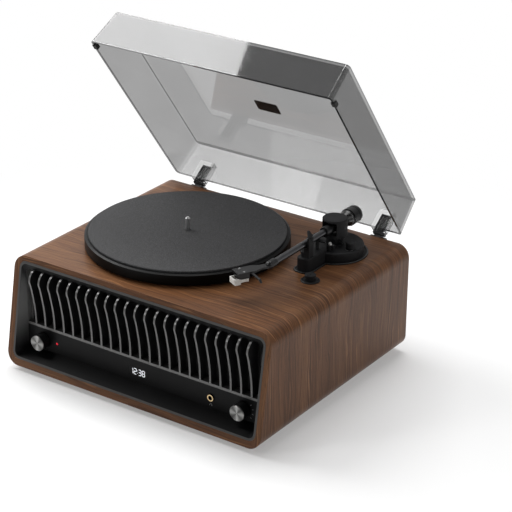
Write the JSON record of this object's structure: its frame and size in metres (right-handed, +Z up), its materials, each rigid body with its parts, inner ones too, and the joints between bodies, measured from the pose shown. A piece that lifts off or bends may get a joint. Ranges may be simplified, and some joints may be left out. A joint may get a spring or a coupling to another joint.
{
  "type": "record player",
  "caption": "Tabletop record player in a veneered cabinet with built-in speakers behind a wavy fin grille, belt-driven platter, tonearm and hinged smoked lid.",
  "frame": {"origin": "on the ground under the middle of the whole part's box, lid open", "axes": "+X to the right as seen from the front, +Y to the back, +Z up"},
  "size_m": [0.45, 0.4398, 0.4853],
  "materials": {
    "veneer": "satin lacquered veneer",
    "rear_board": "matt black",
    "baffle": "satin black",
    "grille": "matt grey",
    "cloth": "black woven cloth",
    "display": "gloss smoked window",
    "lamp": "red lens",
    "gold": "gilt",
    "knob_black": "satin black",
    "knob_cap": "turned",
    "component": "matt",
    "basket": "satin black",
    "cone": "pressed paper",
    "magnet": "ferrite",
    "board": "green laminate",
    "supply": "varnished core",
    "foot": "matt",
    "bearing": "turned",
    "steel": "polished",
    "platter": "satin dark",
    "mat": "matt dark grey",
    "belt": "matt",
    "deck_black": "satin dark grey",
    "arm_dark": "satin dark",
    "arm_tube": "satin grey",
    "weight": "satin dark",
    "cartridge": "satin black",
    "guard": "translucent white",
    "lid": "clear smoked",
    "hinge": "satin black"
  },
  "bodies": {
    "cabinet": {"cabinet_shell": "veneer", "rear_panel": "rear_board", "mains_inlet": "component", "line_out_sockets": "gold", "front_baffle": "baffle", "grille": "grille", "grille_cloth": "cloth", "display_window": "display", "standby_lamp": "lamp", "headphone_socket": "gold", "left_encoder": "component", "right_encoder": "component", "left_speaker_basket": "basket", "right_speaker_basket": "basket", "left_speaker_cone": "cone", "right_speaker_cone": "cone", "left_speaker_magnet": "magnet", "right_speaker_magnet": "magnet", "main_board": "board", "power_supply": "supply", "feet": "foot", "bearing_housing": "bearing", "thrust_ball": "steel", "motor": "supply", "drive_belt": "belt", "knob_escutcheon": "deck_black", "tonearm_flange": "deck_black", "tonearm_base": "deck_black", "pivot_column": "arm_dark", "arm_rest": "deck_black", "hinge_brackets": "hinge", "hinge_pins": "steel"},
    "platter": {"platter": "platter", "platter_mat": "mat", "spindle": "steel"},
    "motor_pulley": {"motor_pulley": "bearing"},
    "yoke": {"arm_tower": "deck_black", "pivot_screws": "steel"},
    "arm": {"arm_tube": "arm_tube", "pivot_block": "arm_dark", "headshell": "arm_dark", "finger_lift": "arm_dark", "cartridge": "cartridge", "stylus": "cartridge"},
    "stylus_guard": {"stylus_guard": "guard"},
    "counterweight": {"counterweight": "weight"},
    "weight_dial": {"weight_dial": "knob_black"},
    "anti_skate_dial": {"anti_skate_dial": "deck_black"},
    "cue_lever": {"cue_lever": "deck_black"},
    "lift_platform": {"lift_platform": "deck_black"},
    "arm_clip": {"arm_clip": "deck_black"},
    "speed_knob": {"speed_knob": "deck_black"},
    "lid": {"lid": "lid", "hinge_blades": "hinge", "lid_bumpers": "foot", "lid_plate": "knob_black"},
    "left_knob": {"left_knob": "knob_black", "left_knob_cap": "knob_cap"},
    "right_knob": {"right_knob": "knob_black", "right_knob_cap": "knob_cap"}
  },
  "joints": [
    {"name": "platter_spin", "type": "hinge", "parent": "cabinet", "child": "platter", "pos_m": [-0.0437, -0.01812, 0.172], "axis": [0, 0, 1], "continuous": true},
    {"name": "pulley_spin", "type": "hinge", "parent": "cabinet", "child": "motor_pulley", "pos_m": [-0.11865, -0.09308, 0.172], "axis": [0, 0, 1], "continuous": true},
    {"name": "arm_yaw", "type": "hinge", "parent": "cabinet", "child": "yoke", "pos_m": [0.145, 0.08378, 0.2124], "axis": [0, 0, -1], "range_deg": [0, 42]},
    {"name": "arm_pitch", "type": "hinge", "parent": "yoke", "child": "arm", "pos_m": [0.145, 0.08378, 0.2124], "axis": [-1, 0, 0], "range_deg": [0, 6]},
    {"name": "guard_slide", "type": "slide", "parent": "arm", "child": "stylus_guard", "axis": [-0.4695, -0.8829, 0], "range_m": [0, 0.02]},
    {"name": "weight_turn", "type": "hinge", "parent": "arm", "child": "counterweight", "pos_m": [0.145, 0.12978, 0.2124], "axis": [0, 1, 0], "continuous": true},
    {"name": "weight_dial_turn", "type": "hinge", "parent": "counterweight", "child": "weight_dial", "pos_m": [0.145, 0.11278, 0.2124], "axis": [0, 1, 0], "continuous": true},
    {"name": "anti_skate_turn", "type": "hinge", "parent": "cabinet", "child": "anti_skate_dial", "pos_m": [0.1764, 0.07808, 0.1866], "axis": [0, 0, 1], "range_deg": [0, 180]},
    {"name": "cue_turn", "type": "hinge", "parent": "cabinet", "child": "cue_lever", "pos_m": [0.16, 0.05408, 0.194], "axis": [1, 0, 0], "range_deg": [0, 35]},
    {"name": "lift_slide", "type": "slide", "parent": "cabinet", "child": "lift_platform", "axis": [0, 0, 1], "range_m": [-0.005, 0]},
    {"name": "clip_turn", "type": "hinge", "parent": "cabinet", "child": "arm_clip", "pos_m": [0.1521, 0.00803, 0.2202], "axis": [0, 1, 0], "range_deg": [0, 70]},
    {"name": "speed_turn", "type": "hinge", "parent": "cabinet", "child": "speed_knob", "pos_m": [0.1714, -0.01992, 0.172], "axis": [0, 0, 1], "range_deg": [-45, 45]},
    {"name": "lid_hinge", "type": "hinge", "parent": "cabinet", "child": "lid", "pos_m": [0, 0.17208, 0.1617], "axis": [-1, 0, 0], "range_deg": [-53.2, 12]},
    {"name": "left_knob_turn", "type": "hinge", "parent": "cabinet", "child": "left_knob", "pos_m": [-0.1774, -0.19992, 0.0454], "axis": [0, -1, 0], "continuous": true},
    {"name": "right_knob_turn", "type": "hinge", "parent": "cabinet", "child": "right_knob", "pos_m": [0.1774, -0.19992, 0.0454], "axis": [0, -1, 0], "continuous": true}
  ],
  "couplings": [
    {"joint": "pulley_spin", "follows": "platter_spin", "ratio": 10.833}
  ]
}
